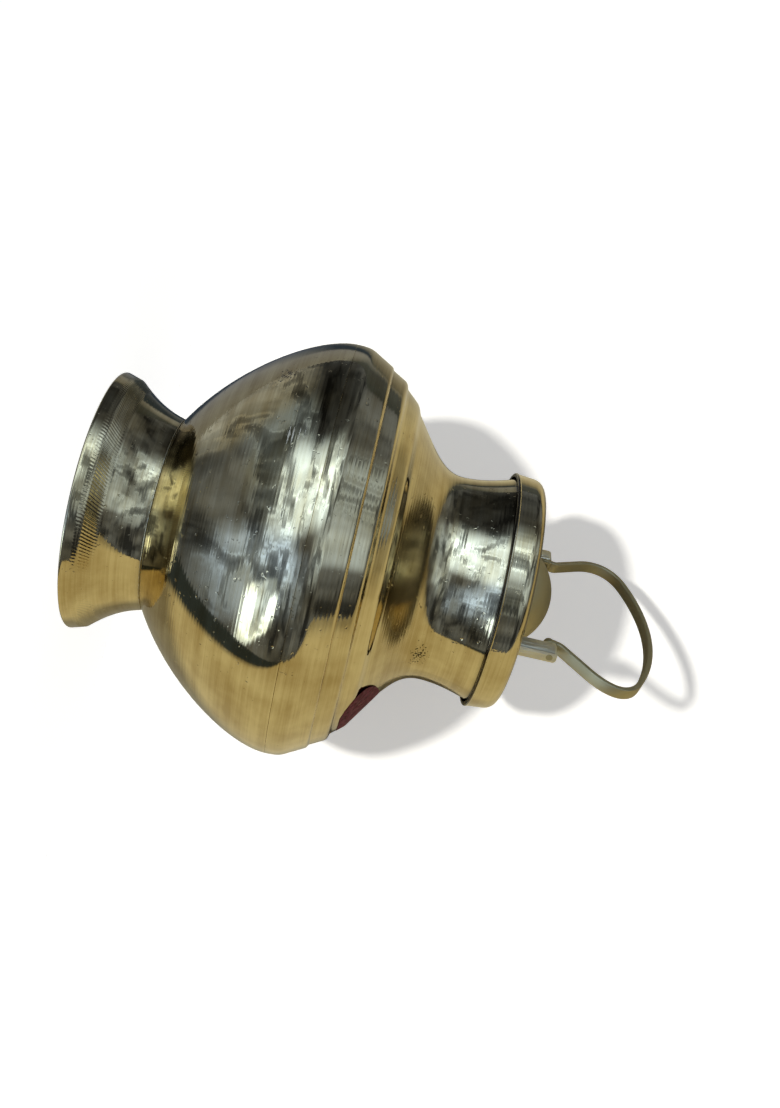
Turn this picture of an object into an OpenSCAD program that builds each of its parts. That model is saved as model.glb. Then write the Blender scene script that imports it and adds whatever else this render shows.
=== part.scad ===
// Brass water pot on a ring foot, with a screw lid and a swinging bail. Millimetres, +Z up, foot on Z = 0.

/* [Foot] */
// Diameter across the foot's rim
foot_d = 68.8; // [56:0.2:84]
// Height of the foot up to the solder seam
foot_h = 17.8; // [14:0.2:24]
// Diameter at the waist, where foot and bowl meet
waist_d = 51.2; // [42:0.2:56]
// Height of the rim band at the foot's edge
foot_band = 4; // [2:0.1:6]
// How far the rim band leans in
band_lean = 1.2; // [0:0.1:3]
// Sheet thickness of the foot
foot_wall = 1.2; // [0.8:0.1:1.6]

/* [Bowl] */
// Greatest diameter, at the belly seam
belly_d = 109.2; // [88:0.2:140]
// Height of the bowl from the waist to the belly seam
bowl_h = 39.6; // [32:0.2:52]
// How far the rounded bottom hangs below the waist
bowl_sink = 7; // [4:0.1:9]
// Angle of the bowl's side above the level at the waist
waist_slope = 31.8; // [20:0.2:40]
// Length of the curve's pull at the waist
waist_pull = 20; // [10:0.5:26]
// Length of the curve's pull at the belly
belly_pull = 10; // [4:0.5:16]
// Sheet thickness of bowl, shoulder and neck
body_wall = 1.1; // [0.7:0.1:1.3]

/* [Shoulder] */
// Inward fall and height of the turn over the belly
belly_turn = [0.8, 4.8]; // [0.4:0.1:8]
// Height of each tier's sloping band, from the belly up
tier_rise = [5.2, 4.15, 3.7]; // [2:0.05:8]
// Inward fall of each tier's sloping band
tier_fall = [2.8, 2.2, 3.2]; // [1:0.05:6]
// Height of the ledge above each tier
ledge_rise = [0.35, 0.5, 1]; // [0.2:0.05:2]
// Inward depth of the ledge above each tier
ledge_fall = [0.8, 1.7, 2.5]; // [0.5:0.05:4]
// Reach of the rounding at each tier's edge
tier_round = [0.5, 0.9, 1.1]; // [0.4:0.05:1.6]
// Height of the flare from the last ledge to the narrowest part of the neck
flare_h = 14.9; // [10:0.1:20]
// Angle of the flare above the level at its start
flare_slope = 37; // [25:0.5:50]

/* [Neck] */
// Diameter at the narrowest part of the neck
neck_d = 54.7; // [44:0.1:66]
// Height from the narrowest part up to the lip
neck_h = 13.4; // [10:0.1:18]
// How far the lip stands out past the narrowest part
lip_flare = 2.65; // [1.5:0.05:4]

/* [Thread rings] */
// How far the thread lies inside the lip
thread_inset = 4; // [3.6:0.1:5]
// Radial clearance between the two thread rings
thread_gap = 0.1; // [0.05:0.01:0.2]
// Wall of the ring on the mouth
mouth_wall = 2.4; // [1.6:0.1:4]
// Wall of the ring in the lid
lid_ring_wall = 1.4; // [1:0.1:1.6]
// Thickness of the flange that sits on the lip
flange_t = 1; // [0.8:0.1:1.4]
// Thickness of the sealing washer
washer_t = 0.95; // [0.6:0.05:1.4]

/* [Lid] */
// Height of the lid without its dome
lid_h = 8; // [7:0.1:12]
// How far the lid's edge hangs below the lip
lid_lap = 0.5; // [0:0.1:1.5]
// Radial clearance between lip and skirt
lid_gap = 0.6; // [0.4:0.05:1.2]
// Sheet thickness of the lid
lid_wall = 0.9; // [0.6:0.05:1.1]
// How far the skirt leans in from its edge to the top
skirt_lean = 0.7; // [0:0.05:1]
// Reach of the rounding between skirt and top
lid_round = 3.2; // [2:0.1:3.4]
// Diameter of the dome where it meets the top
dome_d = 27.2; // [18:0.2:32]
// Height of the dome above the top
dome_h = 8.9; // [4:0.1:10]

/* [Bail] */
// Height of the ears above the lid's top
ear_h = 10; // [6:0.1:14]
// Width of an ear, measured around the lid
ear_w = 2.8; // [2.4:0.1:3.2]
// Depth of an ear, measured from the lid's axis outwards
ear_t = 4.8; // [3:0.1:6]
// How far the ears stand inside the edge of the lid's flat top
ear_inset = 1.9; // [0.5:0.1:3]
// Distance from an ear's tip down to the pin
pin_drop = 1.9; // [1.6:0.1:2.1]
// Pin diameter
pin_d = 1.7; // [1.2:0.1:2]
// Clearance between bail and pin, and between bail and ear
bail_gap = 0.15; // [0.1:0.05:0.2]
// Thickness of the bail's strip
bail_t = 1.4; // [0.8:0.1:1.6]
// Width of the bail's strip
bail_w = 3; // [2.6:0.1:3.4]
// Height of the bend above the pin
bail_bend = 2.9; // [2.9:0.1:5]
// Sideways spread and height of the bail's corner, from the bend's foot
bail_corner = [13, 19]; // [8:0.1:26]
// Height of the bail's crown above the pin
bail_top = 29.8; // [28:0.1:40]
// Reach of the rounding at the bail's corner
bail_round = 11; // [6:0.1:12]
// Lean of the bail from upright, at rest
bail_lean = 10; // [0:1:60]

/* [Hidden] */
$fn = 96;

brass = [0.80, 0.66, 0.36];
dark_rubber = [0.16, 0.14, 0.13];
edge = 0.5;

// Heights, from the ground up
belly_z = foot_h + bowl_h;
neck_z = belly_z + belly_turn.y + sum(tier_rise) + sum(ledge_rise) + flare_h;
lip_z = neck_z + neck_h;
lid_z = lip_z - lid_lap;
lid_top = lid_z + lid_h;
ceiling_z = lid_top - lid_wall;
collar_z = ceiling_z - washer_t - 0.05;
pin_z = lid_top + ear_h - pin_drop;

// Radii, from the outside in
lip_r = neck_d / 2 + lip_flare;
lid_r = lip_r + lid_gap + lid_wall;
flat_r = lid_r - skirt_lean - lid_round;
thread_r = lip_r - thread_inset;
mouth_r = thread_r - mouth_wall;
lid_ring_r = thread_r + thread_gap;
ear_r = flat_r - ear_inset - ear_t;
tab_p = ear_r - bail_gap - bail_t / 2;

function sum(v) = v * [for (x = v) 1];
function reversed(v) = [for (i = [len(v) - 1:-1:0]) v[i]];
function without_first(v) = [for (i = [1:len(v) - 1]) v[i]];
function mirrored(v) = [for (p = reversed(v)) [-p.x, p.y]];
function toward(p, q, d) = p + (q - p) * d / norm(q - p);

// Cubic curve from a to d with the handles b and c
function cubic(a, b, c, d, n) =
    [for (i = [0:n]) let (t = i / n, s = 1 - t) s*s*s*a + 3*s*s*t*b + 3*s*t*t*c + t*t*t*d];

// Rounding of the corner b between a and c
function rounded(a, b, c, reach, n = 6) =
    let (p = toward(b, a, reach), q = toward(b, c, reach))
    [for (i = [0:n]) let (t = i / n, s = 1 - t) s*s*p + 2*s*t*b + t*t*q];

// Line beside a path, at the distance d on its left
function left_of(v) = [-v.y, v.x] / norm(v);
function beside(path, d) =
    let (last = len(path) - 1)
    [for (i = [0:last])
        let (before = path[max(i, 1)] - path[max(i, 1) - 1],
             after = path[min(i, last - 1) + 1] - path[min(i, last - 1)],
             both = left_of(before) + left_of(after))
        path[i] + both * 2 * d / (both * both)];

// Sheet of even thickness under an outer path, with its two inner ends given
function sheet(path, wall, first, last) =
    let (inner = beside(path, wall), n = len(path) - 1)
    concat(path, [last], reversed([for (i = [1:n - 1]) inner[i]]), [first]);

// Foot and bowl share the cone between these two points
slope_dir = [cos(waist_slope), sin(waist_slope)];
seat_out = [waist_d / 2, foot_h];
seat_in = seat_out - slope_dir * foot_wall / slope_dir.x;

module foot() {
    rim_r = foot_d / 2;
    band_top = [rim_r - band_lean, foot_band];
    curve = cubic(band_top, band_top + [-3.7, 4.1], seat_out + [1.3, -5.9], seat_out, 20);
    color(brass) rotate_extrude()
        polygon(concat([[rim_r - edge, 0], [rim_r, edge]], curve, [seat_in],
                       without_first(reversed(beside(curve, foot_wall))),
                       [[rim_r - foot_wall - edge, 0]]));
}

module lower_bowl() {
    bottom = foot_h - bowl_sink;
    belly = [belly_d / 2, belly_z];
    under = cubic([0, bottom], [waist_d / 5, bottom], seat_in - slope_dir * 9, seat_in, 12);
    side = cubic(seat_out, seat_out + slope_dir * waist_pull, belly - [0, belly_pull], belly, 24);
    color(brass) rotate_extrude()
        polygon(sheet(concat(under, side), body_wall, [0, bottom + body_wall], belly - [body_wall, 0]));
}

// Corners of the shoulder: foot, edge and ledge end of each tier
turn_end = [belly_d / 2 - belly_turn.x, belly_z + belly_turn.y];
function tier_foot(i) = i == 0 ? turn_end : tier_edge(i - 1) + [-ledge_fall[i - 1], ledge_rise[i - 1]];
function tier_edge(i) = tier_foot(i) + [-tier_fall[i], tier_rise[i]];

module upper_body() {
    belly = [belly_d / 2, belly_z];
    turn = cubic(belly, belly + [0, 1.8], toward(turn_end, tier_edge(0), -1.6), turn_end, 8);
    tiers = [for (i = [0:2])
                for (p = concat(rounded(tier_foot(i), tier_edge(i), tier_foot(i + 1), tier_round[i]),
                                [tier_foot(i + 1)])) p];
    flare_start = tier_foot(3);
    neck = [neck_d / 2, neck_z];
    lip = [lip_r, lip_z];
    flare = cubic(flare_start, flare_start + [-cos(flare_slope), sin(flare_slope)] * 10,
                  neck - [0, 6], neck, 16);
    rise = cubic(neck, neck + [0, 5], lip - [1.15, 3.3], lip, 12);
    path = concat(turn, tiers, without_first(flare), without_first(rise));
    color(brass) rotate_extrude()
        polygon(sheet(path, body_wall, belly - [body_wall, 0], lip - [body_wall, 0]));
}

// A plain ring between two radii and two heights
module ring(inner, outer, low, high) {
    rotate_extrude() translate([inner, low]) square([outer - inner, high - low]);
}

module mouth_ring() {
    color(brass) {
        ring(mouth_r, thread_r, lip_z, collar_z);
        ring(mouth_r, lip_r - edge, lip_z, lip_z + flange_t);
    }
}

module seal_washer() {
    color(dark_rubber) ring(mouth_r + 0.2, thread_r - 0.2, collar_z, collar_z + washer_t);
}

module lid_cap() {
    skirt = [lid_r, lid_z];
    corner = [lid_r - skirt_lean, lid_top];
    dome_r = (dome_d * dome_d / 4 + dome_h * dome_h) / (2 * dome_h);
    base_a = asin(dome_d / 2 / dome_r) - 6;
    crown = [for (i = [0:16]) let (a = base_a * (1 - i / 16))
             [dome_r * sin(a), lid_top + dome_h - dome_r + dome_r * cos(a)]];
    dome_foot = [crown[0].x + (crown[0].y - lid_top) / tan(base_a), lid_top];
    blend = rounded(corner, dome_foot, crown[0], norm(crown[0] - dome_foot));
    path = concat([skirt], rounded(skirt, corner, [0, lid_top], lid_round, 10), blend, without_first(crown));
    color(brass) {
        rotate_extrude()
            polygon(sheet(path, lid_wall, skirt - [lid_wall, 0], [0, lid_top + dome_h - lid_wall]));
        // Rounded hem at the skirt's edge
        rotate_extrude() translate([lid_r - 0.35, lid_z + 0.45]) circle(r = 0.45);
    }
}

module lid_ring() {
    color(brass) ring(lid_ring_r, lid_ring_r + lid_ring_wall, lip_z + flange_t + 0.5, ceiling_z);
}

// Ear on the side +X, its tip corners rounded, drilled for the pin
module ear() {
    tip_r = 0.9;
    color(brass) difference() {
        translate([ear_r, 0, lid_top]) rotate([90, 0, 90]) linear_extrude(ear_t) {
            translate([-ear_w / 2, 0]) square([ear_w, ear_h - tip_r]);
            translate([tip_r - ear_w / 2, 0]) square([ear_w - 2 * tip_r, ear_h]);
            for (side = [-1, 1])
                translate([side * (ear_w / 2 - tip_r), ear_h - tip_r]) circle(tip_r);
        }
        on_pin(ear_r - 1) cylinder(d = pin_d, h = ear_t + 2);
    }
}

// Places a cylinder on the pins' axis, from x = low outwards
module on_pin(low) {
    translate([low, 0, pin_z]) rotate([0, 90, 0]) children();
}

module ear_right() {
    ear();
}

module ear_left() {
    mirror([1, 0, 0]) ear();
}

module bail_pins() {
    head_t = 0.4;
    head_p = tab_p - bail_t / 2 - bail_gap - head_t;
    color(brass) for (side = [0, 1]) mirror([side, 0, 0]) {
        on_pin(head_p) cylinder(d = pin_d, h = ear_r + ear_t - head_p);
        on_pin(head_p) cylinder(d = pin_d + 0.8, h = head_t);
    }
}

// Bail in its own plane: tab, bend, splayed leg, rounded corner, arched crown
module bail_handle() {
    bend = [tab_p, bail_bend];
    corner = [tab_p + bail_corner.x, bail_corner.y];
    sag = bail_top - corner.y;
    arch_r = (corner.x * corner.x + sag * sag) / (2 * sag);
    arch_a = asin(corner.x / arch_r) - bail_round / arch_r * 180 / PI;
    arch = [for (i = [0:10]) let (a = arch_a * (1 - i / 10))
            [arch_r * sin(a), bail_top - arch_r + arch_r * cos(a)]];
    leg_end = toward(corner, bend, bail_round);
    pull = bail_round * 2 / 3;
    turn = cubic(leg_end, toward(leg_end, corner, pull), arch[0] + [cos(arch_a), -sin(arch_a)] * pull,
                 arch[0], 14);
    half = concat([[tab_p, 0]], rounded([tab_p, 0], bend, leg_end, 0.9), turn, without_first(arch));
    path = concat(half, without_first(mirrored(half)));
    color(brass) translate([0, 0, pin_z]) rotate([-bail_lean, 0, 0]) difference() {
        union() {
            rotate([90, 0, 0]) linear_extrude(bail_w, center = true)
                polygon(concat(beside(path, bail_t / 2), reversed(beside(path, -bail_t / 2))));
            for (side = [-1, 1])
                translate([side * tab_p, 0, 0]) rotate([0, 90, 0])
                    cylinder(d = bail_w, h = bail_t, center = true);
        }
        for (side = [-1, 1])
            translate([side * tab_p, 0, 0]) rotate([0, 90, 0])
                cylinder(d = pin_d + 2 * bail_gap, h = bail_t + 2, center = true);
    }
}

foot();
lower_bowl();
upper_body();
mouth_ring();
lid_cap();
lid_ring();
seal_washer();
ear_left();
ear_right();
bail_pins();
bail_handle();
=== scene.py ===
"""Looks and stage for a spun brass water pot with a screw lid and a swinging bail."""

import math

import bmesh
import bpy
from bpy.props import FloatProperty, FloatVectorProperty, IntProperty, PointerProperty
from mathutils import Matrix, Vector


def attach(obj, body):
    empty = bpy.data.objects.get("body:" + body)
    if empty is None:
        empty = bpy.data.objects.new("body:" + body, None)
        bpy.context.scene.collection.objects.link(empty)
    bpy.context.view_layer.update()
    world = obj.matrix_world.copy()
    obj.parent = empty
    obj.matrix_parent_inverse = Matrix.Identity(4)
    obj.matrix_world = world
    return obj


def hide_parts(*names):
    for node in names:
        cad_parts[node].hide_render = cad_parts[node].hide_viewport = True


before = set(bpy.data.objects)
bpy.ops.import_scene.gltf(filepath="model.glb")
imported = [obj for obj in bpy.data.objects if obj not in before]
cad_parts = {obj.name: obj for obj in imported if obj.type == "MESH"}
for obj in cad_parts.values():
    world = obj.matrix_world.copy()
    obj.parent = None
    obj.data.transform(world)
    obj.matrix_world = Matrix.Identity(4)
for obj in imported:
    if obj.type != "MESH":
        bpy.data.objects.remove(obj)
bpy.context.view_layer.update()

bl_info = {
    "name": "Brass Water Pot",
    "version": (1, 0, 0),
    "blender": (4, 5, 0),
    "location": "View3D > Sidebar > Pot",
    "description": "Builds a spun brass water pot with a screw lid and a bail, and its stage",
    "category": "Object",
}

MM = 0.001
TURN = 2 * math.pi
# two places closer than this are taken to be the same
TINY = 1e-6
# edges that turn by more than this stay sharp
SHARP = math.radians(38)
# a spun piece starts as a narrow wedge, which is then doubled this many times
DOUBLINGS = 5
WEDGES = 2 ** DOUBLINGS


# Property helpers


def linear(text):
    """Linear colour of an sRGB hex string."""
    values = [int(text[i:i + 2], 16) / 255 for i in (0, 2, 4)]
    return [v / 12.92 if v <= 0.04045 else ((v + 0.055) / 1.055) ** 2.4 for v in values]


def length(label, text, size):
    """Length property, its default given in millimetres."""
    return FloatProperty(name=label, description=text, default=size * MM, unit="LENGTH", precision=5)


def lengths(label, text, *sizes):
    """Several lengths in one property, given in millimetres."""
    defaults = [s * MM for s in sizes]
    return FloatVectorProperty(name=label, description=text, default=defaults, size=len(sizes), unit="LENGTH")


def turned(label, text, degrees):
    """Angle property, its default given in degrees."""
    return FloatProperty(name=label, description=text, default=math.radians(degrees), subtype="ANGLE")


def share(label, text, value):
    """Plain number between 0 and 1."""
    return FloatProperty(name=label, description=text, default=value, min=0, max=1, subtype="FACTOR")


def colour(label, text, value):
    """Colour property, its default given as an sRGB hex string."""
    return FloatVectorProperty(name=label, description=text, default=linear(value), size=3, min=0, max=1,
                               subtype="COLOR")


class POT_PG_sizes(bpy.types.PropertyGroup):
    """Sizes of the pot, from the ground up."""

    foot_d: length("Foot diameter", "Across the rim of the foot", 68.8)
    foot_h: length("Foot height", "From the ground to the waist seam", 17.8)
    waist_d: length("Waist diameter", "Where foot and bowl meet", 51.2)
    foot_band: length("Rim band height", "Height of the band at the foot's edge", 4)
    band_lean: length("Rim band lean", "How far the rim band leans in", 1.2)
    foot_wall: length("Foot wall", "Sheet thickness of the foot", 1.2)
    knurl_z: lengths("Knurl heights", "Lower and upper edge of the knurled band", 2.9, 7.5)
    knurl_pitch: length("Knurl pitch", "Distance between strokes around the band", 0.85)
    knurl_depth: length("Knurl depth", "Depth of the strokes", 0.13)
    belly_d: length("Belly diameter", "Greatest diameter, at the belly seam", 109.2)
    bowl_h: length("Bowl height", "From the waist to the belly seam", 39.6)
    bowl_sink: length("Bottom sink", "How far the bottom hangs below the waist", 7)
    waist_slope: turned("Waist slope", "Angle of the bowl's side at the waist", 31.8)
    waist_pull: length("Waist pull", "Pull of the bowl's curve at the waist", 20)
    belly_pull: length("Belly pull", "Pull of the bowl's curve at the belly", 10)
    body_wall: length("Body wall", "Sheet thickness of bowl, shoulder and neck", 1.1)
    belly_turn: lengths("Belly turn", "Inward fall and height of the turn over the belly", 0.8, 4.8)
    tier_rise: lengths("Tier heights", "Height of each sloping band", 5.2, 4.15, 3.7)
    tier_fall: lengths("Tier falls", "Inward fall of each sloping band", 2.8, 2.2, 3.2)
    ledge_rise: lengths("Ledge heights", "Height of the ledge above each tier", 0.35, 0.5, 1)
    ledge_fall: lengths("Ledge depths", "Inward depth of the ledge above each tier", 0.8, 1.7, 2.5)
    tier_round: lengths("Tier roundings", "Reach of the rounding at each tier's edge", 0.5, 0.9, 1.1)
    flare_h: length("Flare height", "From the last ledge to the narrowest part of the neck", 14.9)
    flare_slope: turned("Flare slope", "Angle of the flare at its start", 37)
    neck_d: length("Neck diameter", "At the narrowest part of the neck", 54.7)
    neck_h: length("Neck height", "From the narrowest part up to the lip", 13.4)
    lip_flare: length("Lip flare", "How far the lip stands out past the neck", 2.65)
    thread_inset: length("Thread inset", "How far the thread lies inside the lip", 4)
    thread_gap: length("Thread gap", "Clearance between the two thread rings", 0.1)
    thread_pitch: length("Thread pitch", "Rise of the lid in one turn", 2.5)
    thread_depth: length("Thread depth", "Depth of the thread's groove", 0.7)
    mouth_wall: length("Mouth ring wall", "Wall of the ring on the mouth", 2.4)
    lid_ring_wall: length("Lid ring wall", "Wall of the ring in the lid", 1.4)
    flange_t: length("Flange thickness", "Thickness of the mouth ring's flange", 1)
    washer_t: length("Washer thickness", "Thickness of the sealing washer", 0.95)
    washer_gap: length("Washer gap", "Clearance between washer and lid", 0.05)
    lid_h: length("Lid height", "Height of the lid without its dome", 8)
    lid_lap: length("Lid lap", "How far the lid's edge hangs below the lip", 0.5)
    lid_gap: length("Lid gap", "Clearance between lip and skirt", 0.6)
    lid_wall: length("Lid wall", "Sheet thickness of the lid", 0.9)
    skirt_lean: length("Skirt lean", "How far the skirt leans in to the top", 0.7)
    lid_round: length("Lid rounding", "Reach of the rounding between skirt and top", 3.2)
    hem_r: length("Hem radius", "Radius of the bead at the skirt's edge", 0.45)
    dome_d: length("Dome diameter", "Where the dome meets the lid's top", 27.2)
    dome_h: length("Dome height", "Height of the dome above the lid's top", 8.9)
    ear_h: length("Ear height", "Height of the ears above the lid's top", 10)
    ear_w: length("Ear width", "Width of an ear, measured around the lid", 2.8)
    ear_t: length("Ear depth", "Depth of an ear, measured outwards", 4.8)
    ear_inset: length("Ear inset", "How far the ears stand inside the flat top's edge", 1.9)
    pin_drop: length("Pin drop", "From an ear's tip down to the pin", 1.9)
    pin_d: length("Pin diameter", "Diameter of the bail's pins", 1.7)
    bail_gap: length("Bail gap", "Clearance between bail, pin and ear", 0.15)
    bail_t: length("Bail thickness", "Thickness of the bail's strip", 1.4)
    bail_w: length("Bail width", "Width of the bail's strip", 3)
    bail_bend: length("Bail bend", "Height of the bend above the pin", 2.9)
    bail_corner: lengths("Bail corner", "Spread and height of the bail's corner", 13, 19)
    bail_top: length("Bail crown", "Height of the bail's crown above the pin", 29.8)
    bail_round: length("Bail rounding", "Reach of the rounding at the bail's corner", 11)
    bail_lean: turned("Bail lean", "Lean of the bail from upright at rest", 10)
    steps: IntProperty(name="Steps", description="Steps around a spun piece", default=256, min=48, max=512)


class POT_PG_look(bpy.types.PropertyGroup):
    """Colours and finish of the pot."""

    brass: colour("Polished brass", "Reflected colour of the spun sheet", "DAC793")
    worn: colour("Worn brass", "Colour of the sheet where it is worn", "B59E69")
    filed: colour("Filed brass", "Colour of the filed ears", "E6D9AE")
    dull: colour("Dull brass", "Colour of the dome and the bail", "B7A674")
    # this colour is also the painted shade in corners and gaps and under the lid's hem
    pit_and_painted_shade_colour: colour("Pits and dirt", "Colour of the pits and of old dirt", "2E2618")
    flecks: colour("Dried polish", "Colour of the flecks of dried polish", "EBD9B0")
    solder: colour("Solder", "Colour of the waist seam", "D2C79E")
    washer: colour("Washer", "Colour of the sealing washer", "2A2523")
    label: colour("Label", "Colour of the blank paper label", "5C1418")
    # paler colour of the label's creases, a painted sheen
    crease_sheen: colour("Label creases", "Colour of the label where it is creased", "9A4A52")
    chalk: colour("Washer bloom", "Colour of the washer where it has gone chalky", "3A3432")
    polish: share("Roughness", "Roughness of the polished sheet", 0.06)
    throat: share("Throat roughness", "Roughness added where the flare turns up into the neck", 0.09)
    brushed: share("Brushed", "How far the lathe marks draw out the highlights", 0.4)
    # height of the painted shade line on the lip under the lid's hem
    shade_line_height: length("Dirt line", "Height of the line of dirt on the lip under the lid", 105.08)


class POT_PG_stage(bpy.types.PropertyGroup):
    """Camera and studio."""

    azimuth: turned("Azimuth", "Direction the camera looks from", 59)
    distance: length("Distance", "From the pot's axis to the camera", 313)
    height: length("Height", "Height of the camera above the ground", 68)
    aim: lengths("Aim", "Sideways place and height of the point looked at", -3.2, 77.5)
    roll: turned("Roll", "Turn of the picture's right side below the pot's axis", 12.9)
    focal: FloatProperty(name="Focal length", description="For 36 mm on the long side", default=38.34)
    rest_tilt: turned("Rest tilt", "Lean of the pot's axis to the sheet behind it", 8)
    rest_turn: turned("Rest turn", "Turn of the sheet from straight behind", 15)
    card_tilt: turned("Card tilt", "Lean of the pot's axis to the card that the metal mirrors", 12.5)
    card_turn: turned("Card turn", "Turn of that card from straight behind", 29.5)
    paper: colour("Paper", "Colour of floor and sheet", "F4F3F0")
    warm: colour("Warm side", "Colour of the card's lower side", "E0DABE")
    cool: colour("Cool side", "Colour of the card's upper side", "959CA9")
    # painted shade: the strip over the pot and to its right, and the painted shadow beside the lid and bail
    painted_shade: colour("Dark strip", "Colour of the strip along the pot's upper side", "3A4656")
    daylight: colour("Daylight", "Colour of the brighter panels of the room", "AECAFF")
    evening: colour("Evening light", "Colour of the two panels on the picture's left", "98B8FF")
    dusk: colour("Dusk", "Colour of the rest of the room", "C2D4FF")
    haze: colour("Haze", "Colour of the panel behind the pot", "D5DEEC")
    room: FloatProperty(name="Room", description="Brightness of the dim room around", default=0.25)
    floor_glow: share("Floor glow", "Light that the floor gives off, so that it ends in white", 0.85)
    sheet_glow: share("Sheet glow", "Light that the sheet gives off, so that it ends in white", 0.4)
    lamp: FloatProperty(name="Lamp", description="Strength of the soft lamp", default=2.2)
    lamp_spread: turned("Lamp spread", "Angle that the lamp fills, which softens its shadows", 3.5)
    lamp_left: share("Lamp left", "How far left of the camera the lamp stands in the picture", 0.5)
    lamp_up: share("Lamp up", "How far above the camera the lamp stands in the picture", 0.18)


# Outlines, as points of radius and height


def toward(p, q, distance):
    """Point at a distance from p on the way to q."""
    return p + (q - p).normalized() * distance


def cubic(a, b, c, d, count):
    """Cubic curve from a to d with the handles b and c."""
    points = []
    for i in range(count + 1):
        t = i / count
        s = 1 - t
        points.append(a * s ** 3 + b * 3 * s * s * t + c * 3 * s * t * t + d * t ** 3)
    return points


def rounded(a, b, c, reach, count=8):
    """Rounding of the corner b between a and c."""
    p = toward(b, a, reach)
    q = toward(b, c, reach)
    return cubic(p, p.lerp(b, 2 / 3), q.lerp(b, 2 / 3), q, count)


def left_of(v):
    """Unit vector on the left of a direction."""
    return Vector((-v.y, v.x)).normalized()


def beside(path, distance):
    """Line beside a path, on its left."""
    last = len(path) - 1
    out = []
    for i, point in enumerate(path):
        j = max(i, 1)
        k = min(i, last - 1)
        both = left_of(path[j] - path[j - 1]) + left_of(path[k + 1] - path[k])
        out.append(point + both * (2 * distance / both.length_squared))
    return out


def straight(count, start, end):
    """Points along a straight line, for walls that need many rows."""
    return [start.lerp(end, i / count) for i in range(count + 1)]


def arc(centre, radius, start, end, count):
    """Points around a centre, at angles that run from straight up to the right."""
    angles = [start + (end - start) * i / count for i in range(count + 1)]
    return [centre + Vector((math.sin(a), math.cos(a))) * radius for a in angles]


class Plan:
    """Heights and radii worked out from the driving sizes."""

    def __init__(self, s):
        self.belly_z = s.foot_h + s.bowl_h
        self.neck_z = self.belly_z + s.belly_turn[1] + sum(s.tier_rise) + sum(s.ledge_rise) + s.flare_h
        self.lip_z = self.neck_z + s.neck_h
        self.lid_z = self.lip_z - s.lid_lap
        self.lid_top = self.lid_z + s.lid_h
        self.ceiling = self.lid_top - s.lid_wall
        self.collar = self.ceiling - s.washer_t - s.washer_gap
        self.pin_z = self.lid_top + s.ear_h - s.pin_drop
        self.lip_r = s.neck_d / 2 + s.lip_flare
        self.lid_r = self.lip_r + s.lid_gap + s.lid_wall
        self.flat_r = self.lid_r - s.skirt_lean - s.lid_round
        self.thread_r = self.lip_r - s.thread_inset
        self.mouth_r = self.thread_r - s.mouth_wall
        self.lid_ring_r = self.thread_r + s.thread_gap
        self.ear_r = self.flat_r - s.ear_inset - s.ear_t
        self.tab_p = self.ear_r - s.bail_gap - s.bail_t / 2
        self.slope = Vector((math.cos(s.waist_slope), math.sin(s.waist_slope)))
        self.seat_out = Vector((s.waist_d / 2, s.foot_h))
        self.seat_in = self.seat_out - self.slope * (s.foot_wall / self.slope.x)
        self.belly = Vector((s.belly_d / 2, self.belly_z))

    def tier_feet(self, s):
        """Foot of each tier, and the start of the flare as the last one."""
        feet = [Vector((s.belly_d / 2 - s.belly_turn[0], self.belly_z + s.belly_turn[1]))]
        for i in range(3):
            feet.append(self.tier_edge(s, feet[i], i) + Vector((-s.ledge_fall[i], s.ledge_rise[i])))
        return feet

    def tier_edge(self, s, foot, i):
        """Upper edge of a tier's sloping band."""
        return foot + Vector((-s.tier_fall[i], s.tier_rise[i]))


# Meshes


def spun(outline, steps):
    """Turns an outline once around the pot's axis: spins a narrow wedge, then doubles it."""
    bm = bmesh.new()
    along = bm.verts.layers.float.new("along")
    travelled = 0
    verts = []
    for i, point in enumerate(outline):
        if i:
            travelled += (point - outline[i - 1]).length
        vert = bm.verts.new((point.x, 0, point.y))
        vert[along] = travelled / MM
        verts.append(vert)
    edges = [bm.edges.new(pair) for pair in zip(verts, verts[1:])]
    if outline[0].x > TINY or outline[-1].x > TINY:
        edges.append(bm.edges.new((verts[-1], verts[0])))
    wedge = TURN / WEDGES
    bmesh.ops.spin(bm, geom=verts + edges, cent=(0, 0, 0), axis=(0, 0, 1), angle=wedge,
                   steps=steps // WEDGES)
    for i in range(DOUBLINGS):
        copied = bmesh.ops.duplicate(bm, geom=bm.verts[:] + bm.edges[:] + bm.faces[:])["geom"]
        moved = [item for item in copied if isinstance(item, bmesh.types.BMVert)]
        bmesh.ops.rotate(bm, verts=moved, cent=(0, 0, 0), matrix=Matrix.Rotation(wedge * 2 ** i, 3, "Z"))
    bmesh.ops.remove_doubles(bm, verts=bm.verts, dist=TINY / 10)
    bmesh.ops.recalc_face_normals(bm, faces=bm.faces)
    return bm


def ring(inner, outer, low, high, edge, steps):
    """Plain ring with softened edges."""
    corners = [Vector((inner, low)), Vector((outer, low)), Vector((outer, high)), Vector((inner, high))]
    outline = []
    for i in range(4):
        outline += rounded(corners[i - 1], corners[i], corners[(i + 1) % 4], edge, 3)
    return spun(outline, steps)


def polar(co):
    """Radius and angle of a point around the pot's axis."""
    return math.hypot(co.x, co.y), math.atan2(co.y, co.x)


def set_radius(vert, radius):
    """Moves a vertex in or out, at its own height and angle."""
    old = math.hypot(vert.co.x, vert.co.y)
    vert.co.x *= radius / old
    vert.co.y *= radius / old


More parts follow.
